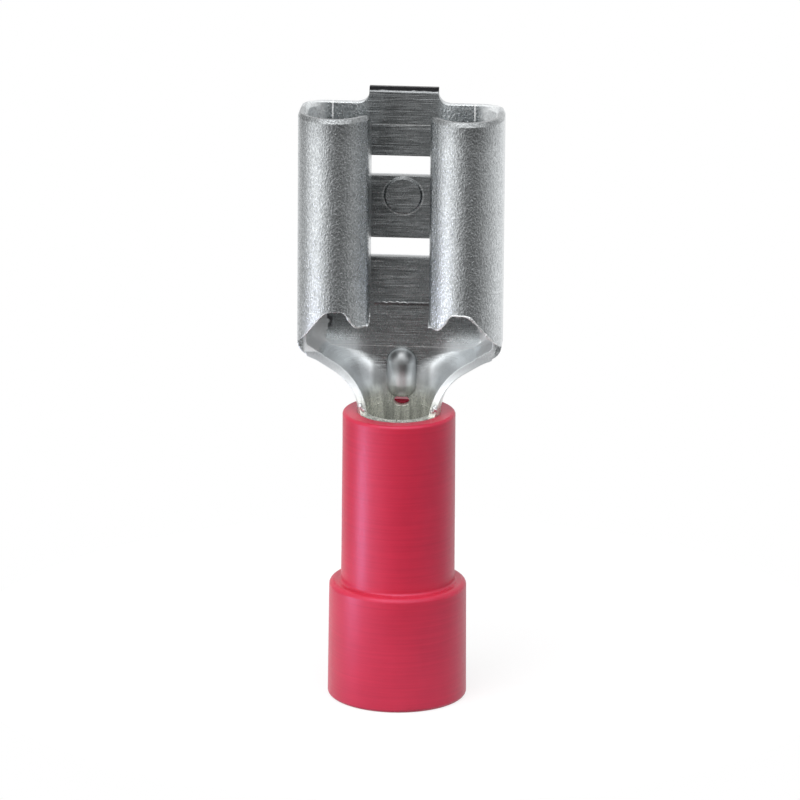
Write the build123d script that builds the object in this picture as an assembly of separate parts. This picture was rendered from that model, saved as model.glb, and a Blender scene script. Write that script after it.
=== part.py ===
from build123d import *

import os
from math import atan2, cos, radians, sin, sqrt, tan

# Female spade terminal, standing on its wire end, in millimetres.
# Z runs up the barrel to the receptacle, X runs across the blade, and -Y is the open side.

# Sheet of the contact
STOCK = 0.35

# Receptacle for a blade 6.35 wide and 0.8 thick
RECEPTACLE_WIDTH = 7.9
RECEPTACLE_DEPTH = 3.2
FLOOR_BEND = 0.9
ROLL_RADIUS = 1.41
ROLL_PAST_FRONT = 48.0
LIP_SLOPE = 0.32
CURL_RADIUS = 0.45
BLADE_GAP = 0.85
LIP_CORNER = 1.3
RIM_HEIGHT = 0.16
RIM_INNER = 0.14
RIM_OUTER = 0.07

# Wings, from the lips' feet to the mouth, with an arch cut in their lower ends
WING_LENGTH = 8.3
WING_LIFT = 0.85
ARCH_HEIGHT = 0.68
ARCH_WIDTH = 0.75
ARCH_SLOPE = 1.15
ARCH_INNER_FILLET = 0.2
ARCH_OUTER_FILLET = 0.6
LIP_FOOT = 0.5
LIP_FOOT_FILLET = 0.25

# Lead-in tongue above the floor
TONGUE_WIDTH = 2.67
TONGUE_HEIGHT = 0.62
TONGUE_FILLET = 0.42
TONGUE_BEVEL = 0.17

# Two windows in the floor and the bar between them
WINDOW_WIDTH = 3.4
UPPER_WINDOW = 0.8
LOWER_WINDOW = 0.77
WINDOW_BAR = 2.47
WINDOW_DROP = 2.07
WINDOW_CORNER = 0.12

# Locking dimple on the bar
DIMPLE_DIAMETER = 1.5
DIMPLE_RISE = 0.09
DIMPLE_SLOPE = 0.07
DIMPLE_DROP = 0.78

# Low ridge that stops the blade
STOP_WIDTH = 2.2
STOP_RISE = 0.06
STOP_HEIGHT = 0.12
STOP_LIFT = 0.37

# Neck, a channel that narrows from the receptacle to the barrel
FLARE_RADIUS = 1.9
FLARE_ANGLE = 60.0
NECK_CORNER = 0.6
NECK_CREASE = 0.56
NECK_DISH = 5.0
NECK_BOWL = 0.5
NECK_ARM = 0.8
NECK_LEAN = 0.2
NECK_EDGE = 0.27
CHANNEL_SLACK = 0.02

# Lanced rib that stops the wire, with a hole under it
RIB_WIDTH = 1.2
RIB_RISE = 0.5
RIB_LENGTH = 2.05
RIB_LIFT = 0.17
RIB_SHEET = 0.26
RIB_HOLE_WIDTH = 0.62
RIB_HOLE_HEIGHT = 0.42
RIB_HOLE_LIFT = 0.05

# Crimp barrel rolled from the same sheet
BARREL_DIAMETER = 3.2
BARREL_LENGTH = 6.25
BARREL_SEAM = 0.06

# Moulded sleeve
SLEEVE_FIT = 0.02
TUBE_WALL = 0.57
TUBE_DRAFT = 0.025
TUBE_EDGE = 0.12
BELL_BORE = 4.3
BELL_WALL = 0.52
BELL_FLARE = 0.04
BELL_LENGTH = 4.63
BELL_DEPTH = 3.5
BELL_EDGE = 0.2
MOUTH_EDGE = 0.14
CREASE_FILLET = 0.1
FUNNEL_LENGTH = 1.7

# Positions of the barrel and the floor
barrel_radius = BARREL_DIAMETER / 2
barrel_bore = barrel_radius - STOCK
barrel_foot = BELL_DEPTH + FUNNEL_LENGTH
barrel_top = barrel_foot + BARREL_LENGTH
plate_back = barrel_radius
plate_front = plate_back - STOCK
half_width = RECEPTACLE_WIDTH / 2

# Outline of the neck, seen from the front
flare_turn = radians(FLARE_ANGLE)
flare_x = barrel_radius + CHANNEL_SLACK + FLARE_RADIUS
flare_end_x = flare_x - FLARE_RADIUS * cos(flare_turn)
flare_end_z = barrel_top + FLARE_RADIUS * sin(flare_turn)
corner_x = half_width - NECK_CORNER * (1 - cos(flare_turn))
corner_z = flare_end_z + (corner_x - flare_end_x) / tan(flare_turn)
neck_top = corner_z + NECK_CORNER * sin(flare_turn)

# Heights of the receptacle
wing_foot = neck_top + WING_LIFT
wing_top = wing_foot + WING_LENGTH
tongue_top = wing_top + TONGUE_HEIGHT
bar_top = wing_top - WINDOW_DROP - UPPER_WINDOW
bar_foot = bar_top - WINDOW_BAR


def both_sides(shape):
    """The shape together with its mirror image across the middle."""
    return shape + mirror(shape, about=Plane.YZ)


def front_plane(y, z):
    """Plane that faces the open side, with its origin on the middle line."""
    return Plane((0, y, z), x_dir=(1, 0, 0), z_dir=(0, -1, 0))


# Positions of the sides, the rolls and the lips
bend_x = half_width - FLOOR_BEND
bend_y = plate_back - FLOOR_BEND
front_y = plate_back - RECEPTACLE_DEPTH
side_end = front_y + ROLL_RADIUS
roll = Vector(half_width - ROLL_RADIUS, side_end)
past = radians(ROLL_PAST_FRONT)
outward = Vector(-sin(past), -cos(past))
slope = Vector(-cos(past), sin(past)) * LIP_SLOPE
curl = roll + outward * (ROLL_RADIUS - CURL_RADIUS) + slope
curl_start = -90 - ROLL_PAST_FRONT
lip_x = curl.X - CURL_RADIUS
lip_end = plate_front - BLADE_GAP


def tray_section(z, outer=0, inner=0):
    """Half of the floor with its bend and straight side, whose faces are set in by an amount."""
    side_out = half_width - outer
    side_in = half_width - STOCK + inner
    with BuildSketch(Plane.XY.offset(z)) as section:
        with BuildLine():
            Line((0, plate_front), (0, plate_back - outer))
            Line((0, plate_back - outer), (bend_x, plate_back - outer))
            CenterArc((bend_x, bend_y), FLOOR_BEND - outer, 90, -90)
            Line((side_out, bend_y), (side_out, side_end))
            Line((side_out, side_end), (side_in, side_end))
            Line((side_in, side_end), (side_in, bend_y))
            EllipticalCenterArc((bend_x, bend_y), side_in - bend_x, plate_front - bend_y, arc_size=90)
            Line((bend_x, plate_front), (0, plate_front))
        make_face()
    return section.sketch


def wing_section(z, outer=0, inner=0):
    """The side rolls over the blade, then its lip curls tighter and turns back to the floor."""
    lip_out = lip_x + outer
    lip_in = lip_x + STOCK - inner
    with BuildSketch(Plane.XY.offset(z)) as section:
        with BuildLine():
            roll_out = CenterArc(roll, ROLL_RADIUS - outer, 0, curl_start)
            curl_out = CenterArc(curl, CURL_RADIUS - outer, curl_start, -180 - curl_start)
            Line(roll_out @ 1, curl_out @ 0)
            Line(curl_out @ 1, (lip_out, lip_end))
            Line((lip_out, lip_end), (lip_in, lip_end))
            roll_in = CenterArc(roll, ROLL_RADIUS - STOCK + inner, 0, curl_start)
            curl_in = CenterArc(curl, CURL_RADIUS - STOCK + inner, curl_start, -180 - curl_start)
            Line(roll_in @ 1, curl_in @ 0)
            Line((lip_in, lip_end), curl_in @ 1)
            Line(roll_in @ 0, roll_out @ 0)
        make_face()
    return section.sketch


def with_rim(section):
    """A sheet section raised to the mouth, thinned at the rim to lead the blade in."""
    rim_foot = wing_top - RIM_HEIGHT
    rim = loft([section(rim_foot), section(wing_top, RIM_OUTER, RIM_INNER)], ruled=True)
    return extrude(section(neck_top), rim_foot - neck_top) + rim


# Tray and wing
tray = both_sides(with_rim(tray_section))
wing = with_rim(wing_section)

# Arch in the lower end of the wing
arch_top = wing_foot + ARCH_HEIGHT
arch_out = half_width - ARCH_SLOPE
arch_in = arch_out - ARCH_WIDTH
lip_foot_x = lip_x + LIP_FOOT
with BuildSketch(Plane.XZ) as arch:
    with BuildLine():
        Polyline(
            (lip_x - 1, wing_foot),
            (lip_foot_x, wing_foot),
            (arch_in, arch_top),
            (arch_out, arch_top),
            (half_width, neck_top),
            (half_width + 1, neck_top),
            (half_width + 1, neck_top - 1),
            (lip_x - 1, neck_top - 1),
            close=True,
        )
    make_face()
    fillet(arch.vertices().sort_by_distance((arch_in, arch_top))[0], ARCH_INNER_FILLET)
    fillet(arch.vertices().sort_by_distance((arch_out, arch_top))[0], ARCH_OUTER_FILLET)
    fillet(arch.vertices().sort_by_distance((lip_foot_x, wing_foot))[0], LIP_FOOT_FILLET)
wing -= extrude(arch.sketch, RECEPTACLE_DEPTH, both=True)

# Rounded corners at both ends of the lip
with BuildSketch(Plane.YZ) as lip_corners:
    with Locations((lip_end, wing_top), (lip_end, wing_foot)):
        Rectangle(2 * LIP_CORNER, 2 * LIP_CORNER)
    round_y = lip_end - LIP_CORNER
    with Locations((round_y, wing_top - LIP_CORNER), (round_y, wing_foot + LIP_CORNER)):
        Circle(LIP_CORNER, mode=Mode.SUBTRACT)
wing -= Pos(lip_x - STOCK / 2, 0, 0) * extrude(lip_corners.sketch, 2 * STOCK)
wings = both_sides(wing)

# Lead-in tongue
tongue_side = TONGUE_WIDTH / 2
tongue_foot = tongue_side + TONGUE_FILLET
with BuildSketch(front_plane(plate_back, 0)) as tongue_outline:
    with BuildLine():
        Polyline(
            (tongue_side, wing_top + TONGUE_FILLET),
            (tongue_side, tongue_top),
            (0, tongue_top),
            (0, wing_top - STOCK),
            (tongue_foot, wing_top - STOCK),
            (tongue_foot, wing_top),
        )
        CenterArc((tongue_foot, wing_top + TONGUE_FILLET), TONGUE_FILLET, 270, -90)
    make_face()
tongue = both_sides(extrude(tongue_outline.sketch, STOCK))
tongue_front = tongue.faces().sort_by(Axis.Y)[0]
tongue = chamfer(tongue_front.edges().sort_by(Axis.Z)[-1], TONGUE_BEVEL)


def neck_half_width(z, inset):
    """Half the width of the neck at a height, measured to a wall set in by an amount."""
    flare = FLARE_RADIUS + inset
    corner = NECK_CORNER - inset
    line_foot = barrel_top + flare * sin(flare_turn)
    line_head = neck_top - corner * sin(flare_turn)
    if z <= line_foot:
        return flare_x - sqrt(flare**2 - (z - barrel_top) ** 2)
    if z >= line_head:
        return half_width - NECK_CORNER + sqrt(corner**2 - (neck_top - z) ** 2)
    return flare_x - flare * cos(flare_turn) + (z - line_foot) * tan(flare_turn)


def neck_section(z):
    """Thin channel outline of the neck at a height."""
    share = (z - barrel_top) / (neck_top - barrel_top)
    below = min(1, (z - barrel_top) / (crease - barrel_top))
    wide_out = neck_half_width(z, 0)
    wide_in = neck_half_width(z, STOCK)
    wall = (wide_out - wide_in) * (1 - (1 - NECK_EDGE / STOCK) * min(1, 2 * (1 - share)))
    crease_flat = neck_half_width(crease, 0) - FLOOR_BEND
    if z < crease:
        flat = CHANNEL_SLACK + (crease_flat - CHANNEL_SLACK) * below**NECK_DISH
        bend = FLOOR_BEND + (barrel_radius - FLOOR_BEND) * (1 - below) ** NECK_BOWL
    else:
        flat = wide_out - FLOOR_BEND
        bend = FLOOR_BEND
    bend_end = plate_back - bend
    arm = side_end - (NECK_ARM + side_end) * (1 - share) ** 2
    lean = NECK_LEAN * (1 - below) ** 2
    turn = 2 * atan2(lean, bend_end - arm)
    tip_out = Vector(wide_out - lean, arm)
    tip_in = tip_out - Vector(cos(turn), -sin(turn)) * wall
    with BuildSketch(Plane.XY.offset(z)) as half:
        with BuildLine():
            Line((0, plate_front), (0, plate_back))
            Line((0, plate_back), (flat, plate_back))
            EllipticalCenterArc((flat, bend_end), wide_out - flat, bend, arc_size=90)
            Line(tip_out, tip_in)
            if lean:
                TangentArc((wide_out, bend_end), tip_out, tangent=(0, -1))
                TangentArc((wide_in, bend_end), tip_in, tangent=(0, -1))
            else:
                Line((wide_out, bend_end), tip_out)
                Line((wide_in, bend_end), tip_in)
            EllipticalCenterArc((flat, bend_end), wide_in - flat, bend - STOCK, arc_size=90)
            Line((flat, plate_front), (0, plate_front))
        make_face()
    return half.sketch


# Neck and barrel
crease = neck_top - NECK_CREASE
upper_levels = [crease + NECK_CREASE * i / 6 for i in range(7)]
lower_levels = [barrel_top + (crease - barrel_top) * i / 12 for i in range(13)]
neck = both_sides(loft([neck_section(z) for z in upper_levels]))
neck += both_sides(loft([neck_section(z) for z in lower_levels]))
ring = Circle(barrel_radius) - Circle(barrel_bore)
ring -= Pos(0, -barrel_radius) * Rectangle(BARREL_SEAM, 3 * STOCK)
barrel = Pos(0, 0, barrel_foot) * extrude(ring, BARREL_LENGTH)

contact = tray + wings + tongue + neck + barrel

# Locking dimple, pressed forward from the back
dimple_radius = DIMPLE_DIAMETER / 2
dimple_z = bar_top - DIMPLE_DROP
boss = Cone(dimple_radius, dimple_radius - DIMPLE_SLOPE, DIMPLE_RISE)
hollow = Cone(dimple_radius - DIMPLE_SLOPE, dimple_radius - 2 * DIMPLE_SLOPE, DIMPLE_RISE)
contact += front_plane(plate_front - DIMPLE_RISE / 2, dimple_z) * boss
contact -= front_plane(plate_back - DIMPLE_RISE / 2, dimple_z) * hollow

# Windows
upper = RectangleRounded(WINDOW_WIDTH, UPPER_WINDOW, WINDOW_CORNER)
lower = RectangleRounded(WINDOW_WIDTH, LOWER_WINDOW, WINDOW_CORNER)
windows = Pos(0, bar_top + UPPER_WINDOW / 2) * upper + Pos(0, bar_foot - LOWER_WINDOW / 2) * lower
contact -= extrude(front_plane(plate_back, 0) * windows, STOCK + 2 * DIMPLE_RISE, both=True)

# Stop ridge for the blade
stop_z = wing_foot + STOP_LIFT
stop_profile = Polyline(
    (plate_front, stop_z),
    (plate_front - STOP_RISE, stop_z),
    (plate_front, stop_z - STOP_HEIGHT),
    close=True,
)
contact += extrude(Plane.YZ * make_face(stop_profile), STOP_WIDTH / 2, both=True)


def rib_shape(radius):
    """Capsule along the neck with round ends."""
    body = Pos(0, rib_y, rib_mid) * Cylinder(radius, rib_straight)
    for end in (-1, 1):
        body += Pos(0, rib_y, rib_mid + end * rib_straight / 2) * Sphere(radius)
    return body


# Lanced rib, hollow behind, with the hole under it
rib_radius = RIB_WIDTH / 2
rib_mid = barrel_top + RIB_LIFT + RIB_LENGTH / 2
rib_straight = RIB_LENGTH - RIB_WIDTH
rib_y = plate_front - RIB_RISE + rib_radius
rib_slot = 2 * (rib_radius - RIB_SHEET)
rib_back = Box(2 * RIB_WIDTH, 2 * RIB_WIDTH, 2 * RIB_LENGTH)
rib_back = Pos(0, plate_back + RIB_WIDTH - STOCK / 2, rib_mid) * rib_back
slot = front_plane(rib_y, rib_mid) * SlotCenterToCenter(rib_straight, rib_slot, 90)
slot = extrude(slot, -RIB_WIDTH)
hole_z = barrel_top + RIB_HOLE_LIFT
hole = Ellipse(RIB_HOLE_WIDTH / 2, RIB_HOLE_HEIGHT / 2)
hole = extrude(front_plane(0, hole_z) * hole, -BARREL_DIAMETER)
contact += rib_shape(rib_radius) - rib_back
contact -= rib_shape(rib_slot / 2) + slot
contact -= hole

# Sleeve: tube over the barrel, bell over the wire, funnel between them
seat_radius = barrel_radius + SLEEVE_FIT
tube_top = (seat_radius + TUBE_WALL, barrel_top)
tube_foot = (seat_radius + TUBE_WALL + TUBE_DRAFT, BELL_LENGTH)
bell_top = (BELL_BORE / 2 + BELL_WALL, BELL_LENGTH)
bell_mouth = (BELL_BORE / 2 + BELL_WALL + BELL_FLARE, 0)
shoulder = bell_top[0] - tube_foot[0]
with BuildSketch(Plane.XZ) as sleeve_profile:
    with BuildLine():
        Polyline(
            (BELL_BORE / 2, 0),
            bell_mouth,
            bell_top,
            tube_foot,
            tube_top,
            (seat_radius, barrel_top),
            (seat_radius, barrel_foot),
            (barrel_bore, barrel_foot),
            (BELL_BORE / 2, BELL_DEPTH),
            close=True,
        )
    make_face()
    rounds = (
        (bell_mouth, MOUTH_EDGE),
        (bell_top, min(BELL_EDGE, shoulder / 2)),
        (tube_foot, min(CREASE_FILLET, shoulder / 4)),
        (tube_top, TUBE_EDGE),
    )
    for corner, radius in rounds:
        fillet(sleeve_profile.vertices().sort_by_distance(corner)[0], radius)
sleeve = revolve(sleeve_profile.sketch, Axis.Z)

os.makedirs("parts", exist_ok=True)
export_step(contact, "parts/contact.step")
export_step(sleeve, "parts/sleeve.step")
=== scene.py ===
from math import cos, pi, radians, sin, sqrt, tan
from types import SimpleNamespace

import bmesh
import bpy
from mathutils import Matrix, Vector, noise


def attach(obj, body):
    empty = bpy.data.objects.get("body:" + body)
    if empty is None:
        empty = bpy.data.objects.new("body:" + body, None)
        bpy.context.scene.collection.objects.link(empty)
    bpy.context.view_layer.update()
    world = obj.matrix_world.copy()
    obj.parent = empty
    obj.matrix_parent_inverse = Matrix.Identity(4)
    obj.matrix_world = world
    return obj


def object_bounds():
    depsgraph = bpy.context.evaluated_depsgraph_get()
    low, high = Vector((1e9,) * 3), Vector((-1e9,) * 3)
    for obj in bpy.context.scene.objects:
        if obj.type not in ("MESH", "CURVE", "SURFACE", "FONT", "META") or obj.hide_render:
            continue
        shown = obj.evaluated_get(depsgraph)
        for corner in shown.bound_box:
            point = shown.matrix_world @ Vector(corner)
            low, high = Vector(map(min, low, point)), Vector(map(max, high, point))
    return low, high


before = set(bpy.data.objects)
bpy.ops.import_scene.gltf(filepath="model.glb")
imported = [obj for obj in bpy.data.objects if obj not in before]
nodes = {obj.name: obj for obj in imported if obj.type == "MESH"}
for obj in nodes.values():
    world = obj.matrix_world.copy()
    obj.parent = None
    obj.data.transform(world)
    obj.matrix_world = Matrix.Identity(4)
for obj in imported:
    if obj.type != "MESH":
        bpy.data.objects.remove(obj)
cad_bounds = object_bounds()
scene = bpy.context.scene
MM = 0.001

# Places on the terminal are in millimetres, as in the part's source: z up, x across, -y the open side

# Sizes of the contact, from the frame and from the part's source
TOP = cad_bounds[1][2] / MM
HALF_WIDTH = cad_bounds[1][0] / MM
RECEPTACLE_DEPTH = 3.2
STOCK = 0.35
TONGUE_HEIGHT = 0.62
WING_LENGTH = 8.3
STOP_HALF = 1.1
RIB_HALF = 0.6

# Heights on the contact
WING_TOP = TOP - TONGUE_HEIGHT
LIP_FOOT = WING_TOP - WING_LENGTH  # lower ends of the wings' lips
TIP = TOP - 0.11  # where the sheared top of the tongue starts
SCRIBE = WING_TOP - 0.84  # scribed line on the tongue
DIMPLE = WING_TOP - 3.65  # centre of the dimple
STOP = LIP_FOOT + 0.31  # ridge that stops the blade
CREASE = 13.69  # fold between the floor and the neck
BARREL_TOP = 11.45

# Depths and distances from the middle on the contact
FRONT = -RECEPTACLE_DEPTH / 2
FLOOR_FACE = RECEPTACLE_DEPTH / 2 - STOCK  # inner face of the floor
WALL_FACE = HALF_WIDTH - STOCK  # inner faces of the side walls
WALL_BEND = 2.74  # lines where the floor bends into the walls
LIP_EDGE = 1.17
DIMPLE_RING = 0.76  # radius of the dimple's edge
TEAR = -2.9  # edge of the torn metal in the left arch

# Section of a wing: a roll, a straight slope and a curled lip
ROLL_RADIUS = 1.41
ROLL_END = radians(48)
LIP_SLOPE = 0.32
CURL_RADIUS = 0.45
roll_x = HALF_WIDTH - ROLL_RADIUS
roll_y = FRONT + ROLL_RADIUS
slope_x = roll_x - ROLL_RADIUS * sin(ROLL_END)
slope_y = roll_y - ROLL_RADIUS * cos(ROLL_END)
lip_x = slope_x - LIP_SLOPE * cos(ROLL_END)
lip_y = slope_y + LIP_SLOPE * sin(ROLL_END)
curl_x = lip_x + CURL_RADIUS * sin(ROLL_END)
curl_y = lip_y + CURL_RADIUS * cos(ROLL_END)

# Lower edge of a wing: the rounded corner of its lip, from one depth to another, and then the arch
LIP_CORNER = 1.3
LIP_CORNER_START = 0.1
LIP_CORNER_END = -0.9
LIP_CORNER_STEPS = 8
ARCH = (  # distances from the middle, and heights above the lips' feet
    (1.25, 0.0), (1.4, 0.0), (1.54, 0.01), (1.66, 0.08), (1.76, 0.2), (1.86, 0.36),
    (1.96, 0.53), (2.04, 0.63), (2.14, 0.68), (2.55, 0.68), (2.7, 0.66), (2.84, 0.58),
    (2.96, 0.46), (3.2, 0.15), (3.45, -0.18), (3.7, -0.51), (3.9, -0.77),
)

# Burrs: the left arch's is broken where the metal tore, and the feet's rise from the barrel's top
LEFT_ARCH = slice(0, 18)
LEFT_CORNER = slice(19, 25)
FOOT_EDGE = ((1.5, -0.66, 0.47), (1.4, -0.72, 0.27), (1.25, -0.7, 0.13))
ARCH_BURR = 0.042
CORNER_BURR = 0.03
STOP_BURR = 0.017
FOOT_BURR = 0.08
BEAD_STEP = 0.02
BEAD_SIDES = 6
BEAD_FACING = Vector((0.3, -0.9, 0.3))
BEAD_END = 0.15  # share of its width that a bead has at its ends
BEAD_TAPER = 6
SWELL = 0.8
SWELL_PITCH = 5
RAG = 0.6
RAG_PITCH = 16
RAG_SEEDS = (11, 23, 37)

# Colours
NONE = (0, 0, 0, 1)
WHITE = (1, 1, 1, 1)
SILVER = (0.725, 0.755, 0.77, 1)
# Painted highlight on torn and bent metal
TORN_METAL_HIGHLIGHT = (0.93, 0.94, 0.94, 1)
# Painted shadow in the crack
CRACK_SHADOW = (0.1, 0.1, 0.105, 1)
OLIVE_DARK = (0.4, 0.41, 0.36, 1)
OLIVE_LIGHT = (0.84, 0.85, 0.76, 1)
# Scratch lines, and painted highlights along the bends and the dimple's edge
SCRATCH_AND_HIGHLIGHT = (0.95, 0.96, 0.96, 1)
# Painted shade on the front of the stop ridge
RIDGE_SHADE = (0.16, 0.16, 0.165, 1)
# Painted shade on the tongue's sheared tip
TIP_SHADE = (0.012, 0.012, 0.013, 1)
BURR_DARK = (0.6, 0.62, 0.63, 1)
RED = (0.58, 0.027, 0.062, 1)
RED_SHEEN = (1.0, 0.65, 1.0, 1)
PAPER_DARK = (0.28, 0.28, 0.28, 1)
PAPER_LIGHT = (0.3, 0.3, 0.3, 1)

# Tone of each zone of the sheet beside the plain plating: painted shade on the plate, the rib, the rim,
# the flank beside the rib and the brow below the rim, painted light on the neck and the bright corners,
# and a darker back
SHADES = {"shaded_plate": 0.39, "back": 0.85, "light": 1.3, "shaded_rib": 0.36, "shaded_rim": 0.66, "flank_shade": 0.42, "shaded_brow": 0.8}

# Sizes of the finish, with pitches in cycles a millimetre
GRAIN_PITCH = (14.0, 14.0, 10.0)
BRUSH_PITCH = (0.4, 1.0, 30.0)
STREAK_PITCH = (5.0, 5.0, 0.5)
RING_PITCH = (0.3, 0.3, 13.0)
GRAIN_HEIGHT = 0.026
MOULD_HEIGHT = 0.02
BURR_HEIGHT = 0.02
SHARP_EDGE = 0.05  # radius of the sheet's and the moulding's sharp edges
BURR_EDGE = 0.01

# Soft boxes of light: azimuth, elevation, sharpness and strength
BOXES = (
    (-68, -12, 9.0, 1.22),
    (-47, -12, 10.0, 1.0),
    (-32, 44, 7.5, 2.4),
    (33, 44, 7.5, 2.3),
    (-100, 40, 4.0, 0.5),
    (105, 45, 4.0, 0.35),
    (78, -12, 9.0, 0.5),
    (0, 82, 6.0, 0.2),
)
AMBIENT = 0.02
BACKDROP = (0.25, 0.97, 0)  # way to the middle of the white backdrop

# Floor, a disc of grey paper that glows white to the camera and in reflections
PAPER_RADIUS = 18
PAPER_BACK = 5
PAPER_DROP = 0.01
PAPER_GLOW = 0.76

# Camera, fitted to the photograph
CAMERA_AZIMUTH = 4.2
CAMERA_ELEVATION = 16.5
CAMERA_ROLL = radians(0.45)
CAMERA_DISTANCE = 300
MIDDLE = 12  # height that the camera and the main lamp face
LENS = 349
SENSOR = 36
PHOTO_PIXELS = 800
SHIFT_RIGHT = 0.79  # pixels
SHIFT_UP = -2.88  # pixels


# Node helpers


class Graph:
    """Short calls to add and join shader nodes."""

    def __init__(self, tree):
        self.tree = tree

    def add(self, kind, **settings):
        node = self.tree.nodes.new(kind)
        for key, value in settings.items():
            setattr(node, key, value)
        return node

    def put(self, value, socket):
        """Join a socket, or set a plain value on it."""
        if isinstance(value, bpy.types.NodeSocket):
            self.tree.links.new(value, socket)
        else:
            socket.default_value = value

    def math(self, operation, a, b=0.0):
        node = self.add("ShaderNodeMath", operation=operation)
        self.put(a, node.inputs[0])
        self.put(b, node.inputs[1])
        return node.outputs[0]

    def plus(self, a, b):
        return self.math("ADD", a, b)

    def minus(self, a, b):
        return self.math("SUBTRACT", a, b)

    def product(self, result, *factors):
        for factor in factors:
            result = self.math("MULTIPLY", result, factor)
        return result

    def largest(self, result, *others):
        for other in others:
            result = self.math("MAXIMUM", result, other)
        return result

    def vector(self, operation, a, b=(0, 0, 0)):
        node = self.add("ShaderNodeVectorMath", operation=operation)
        self.put(a, node.inputs[0])
        self.put(b, node.inputs[1])
        return node.outputs["Value" if operation in ("DOT_PRODUCT", "LENGTH") else "Vector"]

    def line(self, value, low, high, out_low=0.0, out_high=1.0, kind="LINEAR"):
        """Straight remap of a value from one range to another, held at the ends."""
        node = self.add("ShaderNodeMapRange", interpolation_type=kind)
        for item, socket in zip((value, low, high, out_low, out_high), node.inputs):
            self.put(item, socket)
        return node.outputs[0]

    def ramp(self, value, low, high, out_low=0.0, out_high=1.0):
        """Smooth step of a value from one range to another."""
        return self.line(value, low, high, out_low, out_high, "SMOOTHSTEP")

    def band(self, value, centre, half, soft):
        """One inside a band, zero outside, with soft edges."""
        gap = self.math("ABSOLUTE", self.minus(value, centre))
        return self.ramp(gap, half, half + soft, 1.0, 0.0)

    def fade(self, mask, share):
        """One outside a mask, and a share inside it."""
        return self.line(mask, 0, 1, 1.0, share)

    def noise(self, place, scale, detail=2.0, rough=0.5):
        node = self.add("ShaderNodeTexNoise")
        self.put(place, node.inputs["Vector"])
        node.inputs["Scale"].default_value = scale
        node.inputs["Detail"].default_value = detail
        node.inputs["Roughness"].default_value = rough
        return node.outputs["Fac"]

    def stretched(self, place, pitch, detail, rough):
        """Noise with its own pitch along each axis."""
        return self.noise(self.vector("MULTIPLY", place, pitch), 1.0, detail, rough)

    def mix(self, factor, a, b):
        node = self.add("ShaderNodeMix", data_type="RGBA", clamp_factor=False)
        self.put(factor, node.inputs["Factor"])
        self.put(a, node.inputs["A"])
        self.put(b, node.inputs["B"])
        return node.outputs["Result"]

    def bump(self, height, strength, distance, edge):
        """Relief over a surface whose sharp edges are rounded by a radius."""
        soft = self.add("ShaderNodeBevel", samples=6)
        self.put(edge, soft.inputs["Radius"])
        node = self.add("ShaderNodeBump")
        node.inputs["Strength"].default_value = strength
        node.inputs["Distance"].default_value = distance
        self.put(height, node.inputs["Height"])
        self.put(soft.outputs[0], node.inputs["Normal"])
        return node.outputs[0]

    def rays(self):
        """Outputs of Light Path, and a mask of the rays that come by way of metal or glass."""
        path = self.add("ShaderNodeLightPath").outputs
        return path, self.largest(path["Is Glossy Ray"], path["Is Transmission Ray"])


def material(name):
    """A material, its graph and shader, and the place on the piece in millimetres."""
    mat = bpy.data.materials.new(name)
    mat.use_nodes = True
    graph = Graph(mat.node_tree)
    place = graph.add("ShaderNodeTexCoord").outputs["Object"]
    scaled = graph.vector("MULTIPLY", place, (1 / MM, 1 / MM, 1 / MM))
    split = graph.add("ShaderNodeSeparateXYZ")
    graph.put(scaled, split.inputs[0])
    return mat, graph, mat.node_tree.nodes["Principled BSDF"], scaled, split.outputs


# Tin plating


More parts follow.
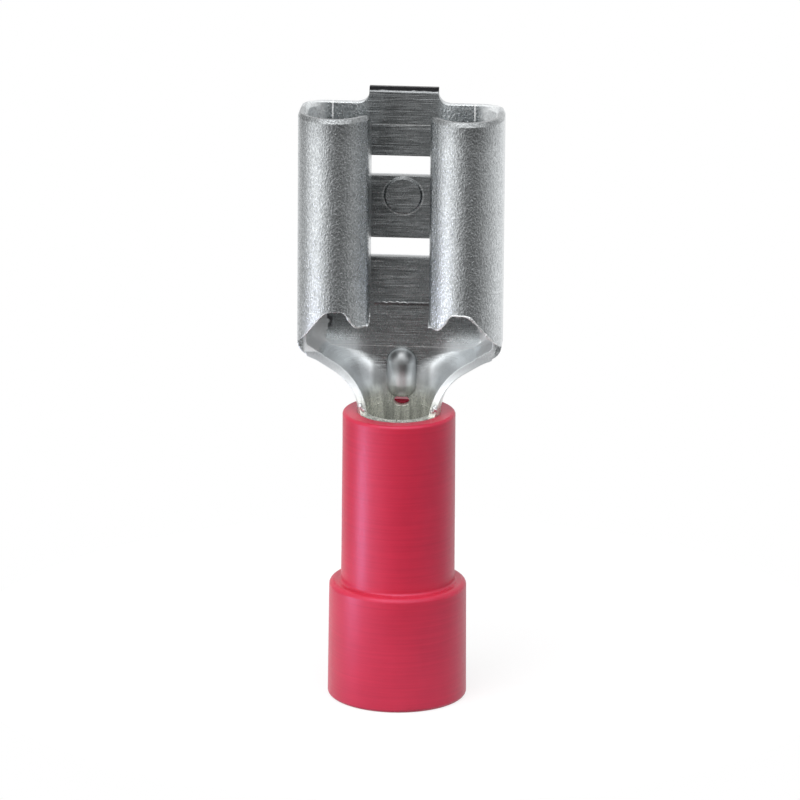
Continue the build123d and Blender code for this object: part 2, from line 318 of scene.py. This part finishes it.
def tin_zones(g, x, y, z):
    """Masks of the parts of the sheet that look different."""
    across = g.math("ABSOLUTE", x)
    inside = g.product(
        g.ramp(y, FLOOR_FACE + 0.25, FLOOR_FACE + 0.17),
        g.ramp(across, WALL_FACE + 0.14, WALL_FACE + 0.04),
    )
    hollow = g.product(inside, g.ramp(y, FRONT + 1.0, FRONT + 1.2))
    back = g.ramp(y, FLOOR_FACE + 0.25, FLOOR_FACE + 0.33)
    # Inner face of the floor, with what stands on it between the lips
    between = g.product(g.ramp(across, LIP_EDGE - 0.05, LIP_EDGE - 0.11), g.ramp(z, STOP - 0.4, STOP))
    deep = g.largest(
        g.ramp(y, FLOOR_FACE - 0.15, FLOOR_FACE - 0.02),
        g.product(between, g.ramp(y, FLOOR_FACE - 0.75, FLOOR_FACE - 0.55)),
    )
    deep = g.product(deep, inside, g.ramp(across, WALL_FACE - 0.1, WALL_FACE - 0.2))
    # Painted highlights in the corners by the neck and in the mouth, and painted shade on the plate that
    # they leave
    corner = g.product(
        g.ramp(across, LIP_EDGE - 0.07, LIP_EDGE + 0.83),
        g.ramp(z, CREASE + 0.91, CREASE + 0.21),
        inside,
    )
    mouth = g.product(
        g.ramp(across, LIP_EDGE + 0.03, LIP_EDGE + 0.58),
        g.ramp(z, WING_TOP - 1.19, WING_TOP - 0.59),
        hollow,
    )
    shaded_plate = g.product(
        deep, g.ramp(z, CREASE - 1.59, CREASE - 0.79), g.minus(1.0, g.largest(corner, mouth))
    )
    # Neck, its rib darkened by painted shade, and painted shade beside the rib
    neck = g.product(
        g.ramp(z, CREASE + 0.21, CREASE - 0.09),
        g.ramp(z, BARREL_TOP + 0.15, BARREL_TOP + 0.85),
        g.minus(1.0, shaded_plate),
    )
    shaded_rib = g.product(
        g.ramp(across, RIB_HALF - 0.02, RIB_HALF - 0.3),
        g.ramp(y, FLOOR_FACE - 0.13, FLOOR_FACE - 0.25),
        g.ramp(z, BARREL_TOP + 1.0, BARREL_TOP + 1.5),
        g.ramp(z, CREASE + 0.51, CREASE + 0.01),
    )
    flank_shade = g.product(
        g.band(across, RIB_HALF + 0.25, 0.15, 0.25), g.band(z, BARREL_TOP + 1.25, 0.4, 0.4), neck
    )
    # Thin rim of the mouth, and the wings' faces below it, both darkened by painted shade
    shaded_rim = g.product(
        g.ramp(z, WING_TOP - 0.19, WING_TOP - 0.13), g.ramp(y, FLOOR_FACE - 0.65, FLOOR_FACE - 0.95)
    )
    shaded_brow = g.product(g.ramp(z, WING_TOP - 1.39, WING_TOP - 0.19), g.ramp(y, FRONT + 1.0, FRONT + 0.8))
    deep_corner = g.product(corner, g.ramp(y, FLOOR_FACE - 1.05, FLOOR_FACE - 0.65))
    # The zone named light brightens the neck and the corners with painted light
    return SimpleNamespace(
        across=across, inside=inside, hollow=hollow, back=back, deep=deep, shaded_plate=shaded_plate, neck=neck,
        shaded_rib=shaded_rib, flank_shade=flank_shade, shaded_rim=shaded_rim, shaded_brow=shaded_brow,
        light=g.largest(neck, corner, mouth),
        brushed=g.largest(shaded_plate, back, deep_corner),
    )


def tin_relief(g, place, zone):
    """Grain of the plating, and lines of the brush on the floor and the back."""
    fine = g.stretched(place, GRAIN_PITCH, 2.5, 0.7)
    brush = g.stretched(place, BRUSH_PITCH, 3.0, 0.6)
    calm = g.largest(zone.brushed, zone.neck)
    grain = g.product(g.minus(fine, 0.5), g.fade(calm, 0.15))
    lines = g.product(g.minus(brush, 0.5), zone.brushed)
    return grain, lines


def tin_tone(g, place, zone, grain, lines):
    """Lightness of the plating, with painted shade and painted light in some zones."""
    cloud = g.noise(place, 1.6)
    tone = g.plus(g.line(grain, -0.2, 0.2, 0.58, 1.2), g.product(lines, 0.42))
    tone = g.product(tone, g.line(cloud, 0.3, 0.7, 0.94, 1.04))
    for name, share in SHADES.items():
        tone = g.product(tone, g.fade(getattr(zone, name), share))
    return tone


def tin_torn(g, place, x, y, z, zone):
    """Masks of the torn and bent metal at the walls and in the throat, lit by painted highlights that are
    stronger on the right, and of the painted shadow in the crack in the left arch.
    """
    ragged = g.minus(g.noise(place, 4.5, 3.0, 0.6), 0.5)
    edge = g.plus(x, g.product(ragged, 0.5))
    low = g.plus(z, g.product(ragged, 0.4))
    torn = g.product(
        g.ramp(edge, TEAR + 0.04, TEAR - 0.04),
        g.ramp(low, STOP + 0.05, STOP - 0.05),
        g.ramp(y, FLOOR_FACE + 0.2, FLOOR_FACE + 0.1),
        g.ramp(z, CREASE + 0.06, CREASE + 0.16),
        g.ramp(x, -WALL_FACE - 0.3, -WALL_FACE - 0.1),
        g.line(zone.hollow, 0, 1, 0.1, 1.0),
    )
    wall_highlight = g.product(
        g.ramp(edge, WALL_FACE - 0.65, WALL_FACE - 0.5),
        g.band(z, CREASE + 0.51, 0.35, 0.3),
        g.ramp(y, FRONT + 1.3, FRONT + 1.5),
        zone.inside,
    )
    throat_highlight = g.product(
        g.ramp(zone.across, WALL_FACE - 0.8, WALL_FACE - 0.4),
        zone.hollow,
        g.ramp(z, WING_TOP - 0.99, WING_TOP - 0.49),
    )
    # Painted light, stronger on the right side of the throat
    right_more = g.line(x, -1, 1, 0.3, 0.7)
    bright = g.largest(torn, g.product(wall_highlight, 0.8), g.product(throat_highlight, right_more))
    crack = g.product(
        g.band(edge, TEAR + 0.08, 0.02, 0.09), g.band(z, CREASE + 0.99, 0.18, 0.25), zone.deep
    )
    return bright, crack


def tin_marks(g, place, y, z, zone):
    """Mask of all pale lines: the scribed line, the crease, and painted highlights along the bends and the
    dimple's edge; and mask of the lines where the floor bends into the walls.
    """
    scribe = g.product(g.band(z, SCRIBE, 0.012, 0.02), zone.deep)
    crease = g.product(
        g.band(z, CREASE, 0.008, 0.015), g.ramp(y, FLOOR_FACE - 0.35, FLOOR_FACE - 0.15), zone.inside
    )
    # Painted highlights along the lines where the floor bends into the walls
    bends = g.product(
        g.band(zone.across, WALL_BEND, 0.012, 0.03), zone.deep, g.ramp(z, WING_TOP - 0.79, WING_TOP - 0.49)
    )
    # Painted highlight along the dimple's edge
    flat = g.vector("MULTIPLY", g.vector("SUBTRACT", place, (0, 0, DIMPLE)), (1, 0, 1))
    ring = g.product(
        g.band(g.vector("LENGTH", flat), DIMPLE_RING, 0.02, 0.03),
        g.ramp(z, DIMPLE + 0.7, DIMPLE + 0.3),
        zone.deep,
    )
    pale_lines_and_highlights = g.largest(
        g.product(scribe, 0.5), g.product(crease, 0.5), g.product(bends, 0.95), g.product(ring, 0.35)
    )
    return pale_lines_and_highlights, bends


def tin_material():
    """Satin tin: grainy wings, brushed floor darkened by painted shade, neck brightened by painted light,
    warm metal in the barrel.
    """
    mat, g, out, place, (x, y, z) = material("tin")
    zone = tin_zones(g, x, y, z)
    grain, lines = tin_relief(g, place, zone)
    bright, crack = tin_torn(g, place, x, y, z, zone)
    pale_lines_and_highlights, bends = tin_marks(g, place, y, z, zone)
    warm = g.ramp(z, BARREL_TOP + 1.15, BARREL_TOP - 0.05, 0.0, 0.85)
    streak = g.stretched(place, STREAK_PITCH, 3.0, 0.6)
    olive = g.mix(g.ramp(streak, 0.35, 0.65), OLIVE_DARK, OLIVE_LIGHT)
    # Painted shade on the front of the ridge that stops the blade, and on the sheared tip of the tongue
    ridge = g.product(
        g.band(z, STOP, 0.08, 0.02),
        g.ramp(y, FLOOR_FACE - 0.001, FLOOR_FACE - 0.005),
        g.ramp(y, FLOOR_FACE - 0.15, FLOOR_FACE - 0.1),
        g.ramp(zone.across, STOP_HALF + 0.04, STOP_HALF),
    )
    tip_shade = g.ramp(g.plus(z, g.product(g.noise(place, 5.0), 0.06)), TIP, TIP + 0.03)

    colour = g.mix(tin_tone(g, place, zone, grain, lines), NONE, SILVER)
    # Coats: painted highlight on torn metal, painted shadow in the crack, the barrel's olive metal, pale
    # lines partly painted highlights, painted shade on the ridge and the tip
    coats = (
        (g.product(bright, 0.8), TORN_METAL_HIGHLIGHT), (crack, CRACK_SHADOW), (warm, olive),
        (pale_lines_and_highlights, SCRATCH_AND_HIGHLIGHT), (ridge, RIDGE_SHADE), (tip_shade, TIP_SHADE),
    )
    for mask, coat in coats:
        colour = g.mix(mask, colour, coat)
    g.put(colour, out.inputs["Base Color"])

    pale = g.largest(
        g.product(zone.neck, g.line(zone.shaded_rib, 0, 1, 0.25, 0.1)),
        g.product(warm, 0.6),
        g.product(g.largest(bright, bends), 0.85),
    )
    g.put(g.minus(1.0, pale), out.inputs["Metallic"])
    rough = g.plus(g.line(grain, -0.2, 0.2, 0.32, 0.23), g.product(zone.neck, 0.1))
    g.put(g.plus(rough, g.product(bright, 0.22)), out.inputs["Roughness"])
    # The barrel's end keeps its sharp edge
    edge = g.product(g.minus(1.0, g.band(z, BARREL_TOP, 0.06, 0.04)), SHARP_EDGE * MM)
    height = g.plus(grain, g.product(lines, 0.9))
    g.put(g.bump(height, 1.0, GRAIN_HEIGHT * MM, edge), out.inputs["Normal"])
    return mat


# Red moulding


def red_material():
    """Satin red plastic with faint rings from the mould and some depth."""
    mat, g, out, place, _ = material("red")
    rings = g.stretched(place, RING_PITCH, 3.0, 0.6)
    speck = g.noise(place, 9.0, 2.0, 0.6)
    cloud = g.noise(place, 0.7)
    tone = g.plus(g.line(rings, 0.3, 0.7, 0.94, 1.05), g.line(cloud, 0.3, 0.7, -0.04, 0.04))
    g.put(g.mix(tone, NONE, RED), out.inputs["Base Color"])
    g.put(g.line(speck, 0.3, 0.7, 0.34, 0.42), out.inputs["Roughness"])
    out.inputs["Specular IOR Level"].default_value = 0.55
    out.inputs["Specular Tint"].default_value = RED_SHEEN
    out.inputs["Subsurface Weight"].default_value = 0.2
    out.inputs["Subsurface Radius"].default_value = (1.0, 0.2, 0.3)
    out.inputs["Subsurface Scale"].default_value = 1 * MM
    height = g.plus(rings, g.product(speck, 0.3))
    g.put(g.bump(height, 0.12, MOULD_HEIGHT * MM, SHARP_EDGE * MM), out.inputs["Normal"])
    return mat


def finish_node(name, mat):
    """Give a CAD node its material."""
    piece = nodes[name]
    piece.data.materials.clear()
    piece.data.materials.append(mat)


# Burrs left by the shears


def burr_material():
    """Freshly sheared tin, bright and uneven."""
    mat, g, out, place, _ = material("burr")
    spots = g.noise(place, 14.0, 2.0, 0.7)
    g.put(g.mix(spots, BURR_DARK, WHITE), out.inputs["Base Color"])
    out.inputs["Metallic"].default_value = 1.0
    g.put(g.line(spots, 0.3, 0.7, 0.5, 0.3), out.inputs["Roughness"])
    g.put(g.bump(spots, 1.0, BURR_HEIGHT * MM, BURR_EDGE * MM), out.inputs["Normal"])
    return mat


def rough_at(place, scale, seed):
    """Smooth noise from -1 to 1 at a place."""
    return noise.noise(place * scale + Vector((seed, 0, 0)))


def spaced(points, step):
    """Points at even steps along a chain of lines."""
    path = [Vector(points[0])]
    for start, end in zip(points, points[1:]):
        start, end = Vector(start), Vector(end)
        count = max(1, round((end - start).length / step))
        path += [start.lerp(end, (i + 1) / count) for i in range(count)]
    return path


def bead_ring(bm, spot, ahead, size, seed):
    """Ragged ring of vertices around a spot on a bead."""
    side = ahead.cross(BEAD_FACING).normalized()
    out = side.cross(ahead)
    ring = []
    for k in range(BEAD_SIDES):
        turn = 2 * pi * k / BEAD_SIDES
        corner = spot + (side * cos(turn) + out * sin(turn)) * size
        shift = Vector([rough_at(corner, RAG_PITCH, seed + n) for n in RAG_SEEDS])
        ring.append(bm.verts.new((corner + shift * RAG * size) * MM))
    return ring


def bead(name, points, width, mat, seed):
    """Ragged bead of metal along a sheared edge, thin at both ends."""
    path = spaced(points, BEAD_STEP)
    last = len(path) - 1
    bm = bmesh.new()
    rings = []
    for i, spot in enumerate(path):
        ahead = (path[min(i + 1, last)] - path[max(i - 1, 0)]).normalized()
        taper = min(1, BEAD_END + BEAD_TAPER * min(i, last - i) / last)
        size = width * taper * (1 + SWELL * rough_at(spot, SWELL_PITCH, seed))
        rings.append(bead_ring(bm, spot, ahead, size, seed))
    for a, b in zip(rings, rings[1:]):
        for k in range(BEAD_SIDES):
            bm.faces.new((a[k], a[k - 1], b[k - 1], b[k]))
    bm.faces.new(rings[0])
    bm.faces.new(reversed(rings[-1]))
    bmesh.ops.recalc_face_normals(bm, faces=bm.faces)
    mesh = bpy.data.meshes.new(name)
    bm.to_mesh(mesh)
    bm.free()
    mesh.shade_smooth()
    mesh.materials.append(mat)
    piece = bpy.data.objects.new(name, mesh)
    scene.collection.objects.link(piece)
    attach(piece, "root")


def wing_face(x):
    """Depth of a wing's outer face at a distance from the middle."""
    if x > slope_x:
        return roll_y - sqrt(max(0, ROLL_RADIUS**2 - (x - roll_x) ** 2))
    if x > lip_x:
        return lip_y - (x - lip_x) * tan(ROLL_END)
    return curl_y - sqrt(max(0, CURL_RADIUS**2 - (x - curl_x) ** 2))


def arch_edge(side):
    """Points along the lower edge of a wing, from its lip to its outer corner."""
    points = []
    for step in range(LIP_CORNER_STEPS + 1):
        y = LIP_CORNER_START + (LIP_CORNER_END - LIP_CORNER_START) * step / LIP_CORNER_STEPS
        rise = LIP_CORNER - sqrt(LIP_CORNER**2 - (y - LIP_CORNER_END) ** 2)
        points.append((side * LIP_EDGE, y, LIP_FOOT + rise))
    return points + [(side * x, wing_face(x), LIP_FOOT + rise) for x, rise in ARCH]


def stop_edge():
    """Wavy line along the ridge that stops the blade, on its left and middle."""
    return [
        (i / 10, FLOOR_FACE - 0.05 - 0.02 * sin(7 * i), STOP + 0.07 + 0.025 * sin(2.3 * i))
        for i in range(-8, 4)
    ]


def burrs():
    """Beads along both arches, the stop and the feet of the neck's edges."""
    mat = burr_material()
    left = arch_edge(-1)
    bead("burr_arch_left", left[LEFT_ARCH], ARCH_BURR, mat, 1)
    bead("burr_corner_left", left[LEFT_CORNER], CORNER_BURR, mat, 2)
    bead("burr_arch_right", arch_edge(1), ARCH_BURR, mat, 3)
    bead("burr_stop", stop_edge(), STOP_BURR, mat, 4)
    for side, word in ((-1, "left"), (1, "right")):
        foot = [(side * x, y, BARREL_TOP + rise) for x, y, rise in FOOT_EDGE]
        bead("burr_foot_" + word, foot, FOOT_BURR, mat, 5 + side)


# Light, floor and camera


def direction(azimuth, elevation):
    """Unit vector to an azimuth and elevation in degrees: 0 is the open side and -90 the left."""
    a, e = radians(azimuth), radians(elevation)
    return Vector((sin(a) * cos(e), -cos(a) * cos(e), sin(e)))


def studio_world():
    """White backdrop, and soft boxes of light around the terminal."""
    world = bpy.data.worlds.new("studio")
    scene.world = world
    world.use_nodes = True
    world.node_tree.nodes.clear()
    g = Graph(world.node_tree)
    way = g.add("ShaderNodeTexCoord").outputs["Generated"]
    total = AMBIENT
    for azimuth, elevation, sharp, strength in BOXES:
        facing = g.vector("DOT_PRODUCT", way, direction(azimuth, elevation))
        lobe = g.math("EXPONENT", g.product(g.minus(facing, 1.0), sharp))
        total = g.plus(g.product(lobe, strength), total)
    light = g.add("ShaderNodeBackground")
    g.put(total, light.inputs["Strength"])
    white = g.add("ShaderNodeBackground")
    white.inputs["Color"].default_value = WHITE
    behind = g.ramp(g.vector("DOT_PRODUCT", way, BACKDROP), -0.1, 0.8)
    path, mirrored = g.rays()
    mix = g.add("ShaderNodeMixShader")
    g.put(g.largest(g.product(mirrored, behind), path["Is Camera Ray"]), mix.inputs[0])
    g.put(light.outputs[0], mix.inputs[1])
    g.put(white.outputs[0], mix.inputs[2])
    out = g.add("ShaderNodeOutputWorld")
    g.put(mix.outputs[0], out.inputs[0])


def lamp(name, azimuth, elevation, distance, height, size, power, colour=(1, 1, 1)):
    """Round lamp that faces the axis of the terminal at a height."""
    data = bpy.data.lights.new(name, "AREA")
    data.shape = "DISK"
    data.size = size * MM
    data.energy = power
    data.color = colour
    obj = bpy.data.objects.new(name, data)
    scene.collection.objects.link(obj)
    way = direction(azimuth, elevation)
    obj.location = (way * distance + Vector((0, 0, height))) * MM
    obj.rotation_mode = "QUATERNION"
    obj.rotation_quaternion = (-way).to_track_quat("-Z", "Y")


def floor():
    """Disc of paper that takes the terminal's shadow."""
    mesh = bpy.data.meshes.new("floor")
    bm = bmesh.new()
    bmesh.ops.create_circle(bm, cap_ends=True, segments=128, radius=PAPER_RADIUS * MM)
    bmesh.ops.translate(bm, verts=bm.verts, vec=(0, PAPER_BACK * MM, -PAPER_DROP * MM))
    bm.to_mesh(mesh)
    bm.free()
    obj = bpy.data.objects.new("floor", mesh)
    scene.collection.objects.link(obj)
    mat, g, out, place, _ = material("floor")
    g.put(g.mix(g.noise(place, 0.2), PAPER_DARK, PAPER_LIGHT), out.inputs["Base Color"])
    out.inputs["Roughness"].default_value = 0.9
    out.inputs["Specular IOR Level"].default_value = 0.1
    out.inputs["Emission Color"].default_value = WHITE
    path, mirrored = g.rays()
    seen = g.largest(mirrored, path["Is Camera Ray"])
    g.put(g.product(seen, PAPER_GLOW), out.inputs["Emission Strength"])
    mesh.materials.append(mat)


def camera():
    """Long lens a little above the terminal and to its right, as in the photograph."""
    back = direction(CAMERA_AZIMUTH, CAMERA_ELEVATION)
    right = Vector((cos(radians(CAMERA_AZIMUTH)), sin(radians(CAMERA_AZIMUTH)), 0))
    up = back.cross(right)
    turned_right = right * cos(CAMERA_ROLL) + up * sin(CAMERA_ROLL)
    turned_up = up * cos(CAMERA_ROLL) - right * sin(CAMERA_ROLL)
    data = bpy.data.cameras.new("camera")
    data.lens = LENS
    data.sensor_width = SENSOR
    data.shift_x = SHIFT_RIGHT / PHOTO_PIXELS
    data.shift_y = SHIFT_UP / PHOTO_PIXELS
    data.clip_start = 0.01
    data.clip_end = 20
    obj = bpy.data.objects.new("camera", data)
    scene.collection.objects.link(obj)
    place = Matrix((turned_right, turned_up, back)).transposed().to_4x4()
    place.translation = Vector((0, 0, MIDDLE * MM)) + back * CAMERA_DISTANCE * MM
    obj.matrix_world = place
    scene.camera = obj


finish_node("contact", tin_material())
finish_node("sleeve", red_material())
burrs()
floor()
studio_world()
lamp("front top", -30, 62, distance=200, height=MIDDLE, size=140, power=0.08)
lamp("left low", -72, -4, distance=22, height=3, size=8, power=0.0013, colour=(0.75, 0.78, 1.0))
camera()
scene.view_settings.view_transform = "Standard"
